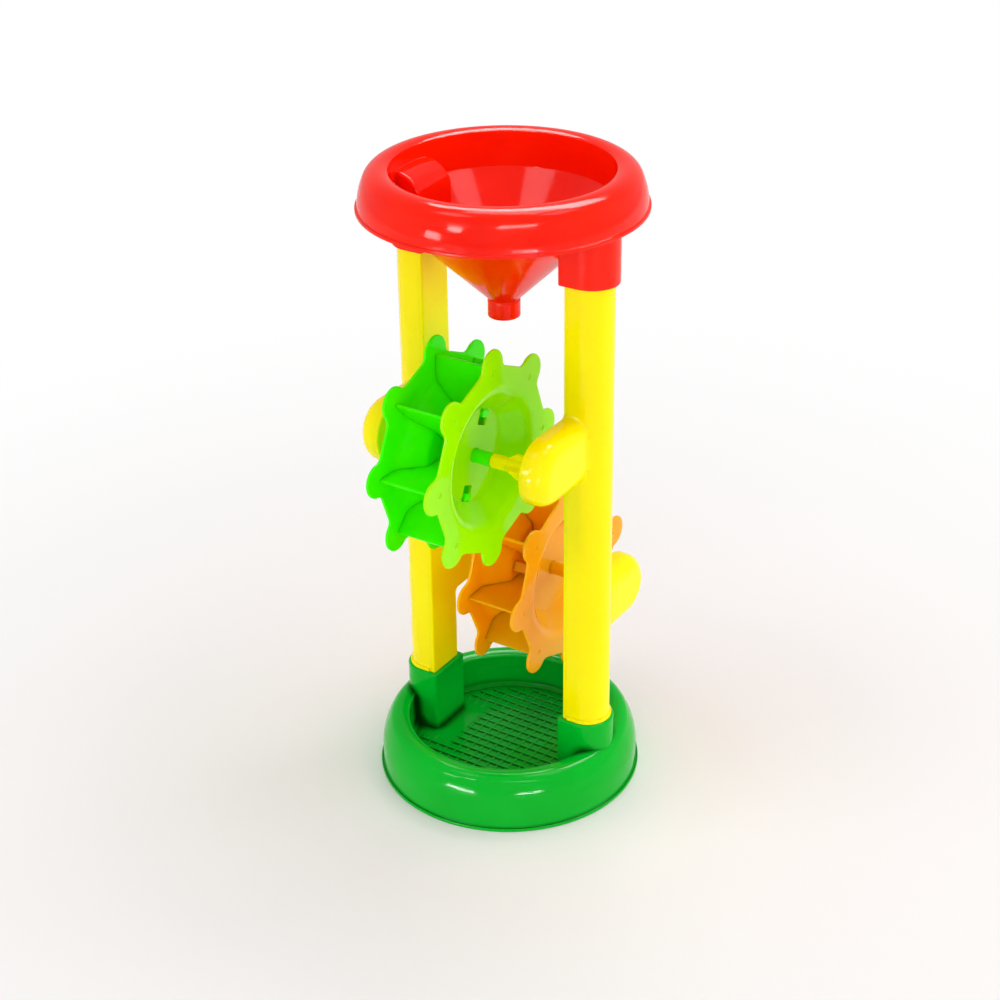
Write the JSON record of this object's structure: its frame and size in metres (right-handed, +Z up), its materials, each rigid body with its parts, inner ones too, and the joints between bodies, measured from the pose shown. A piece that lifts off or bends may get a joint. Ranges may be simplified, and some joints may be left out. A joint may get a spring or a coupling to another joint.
{
  "type": "sand wheel toy",
  "caption": "Tabletop sand and water mill: a round funnel hopper on two legs over a round tray, with paddle wheels that spin between the legs.",
  "frame": {"origin": "middle of the tray's underside, on the ground", "axes": "+Z up, X through both legs, -Y is the front, where the upper wheel stands forward"},
  "size_m": [0.1294, 0.1728, 0.31],
  "materials": {
    "red_plastic": "glossy moulded",
    "green_plastic": "glossy moulded",
    "yellow_plastic": "glossy moulded",
    "lime_plastic": "glossy moulded",
    "yellow_green_plastic": "glossy moulded",
    "orange_plastic": "glossy moulded",
    "light_orange_plastic": "glossy moulded"
  },
  "bodies": {
    "stand": {"base_tray": "green_plastic", "hopper": "red_plastic", "left_leg_shell": "yellow_plastic", "left_leg_back": "yellow_plastic", "right_leg_shell": "yellow_plastic", "right_leg_back": "yellow_plastic"},
    "upper_wheel": {"upper_wheel_paddles": "lime_plastic", "upper_wheel_cover": "yellow_green_plastic"},
    "lower_wheel": {"lower_wheel_paddles": "orange_plastic", "lower_wheel_cover": "light_orange_plastic"}
  },
  "joints": [
    {"name": "upper_wheel_spin", "type": "hinge", "parent": "stand", "child": "upper_wheel", "pos_m": [0, -0.0334, 0.18499], "axis": [1, 0, 0], "continuous": true},
    {"name": "lower_wheel_spin", "type": "hinge", "parent": "stand", "child": "lower_wheel", "pos_m": [0, 0.0334, 0.0936], "axis": [1, 0, 0], "continuous": true}
  ]
}
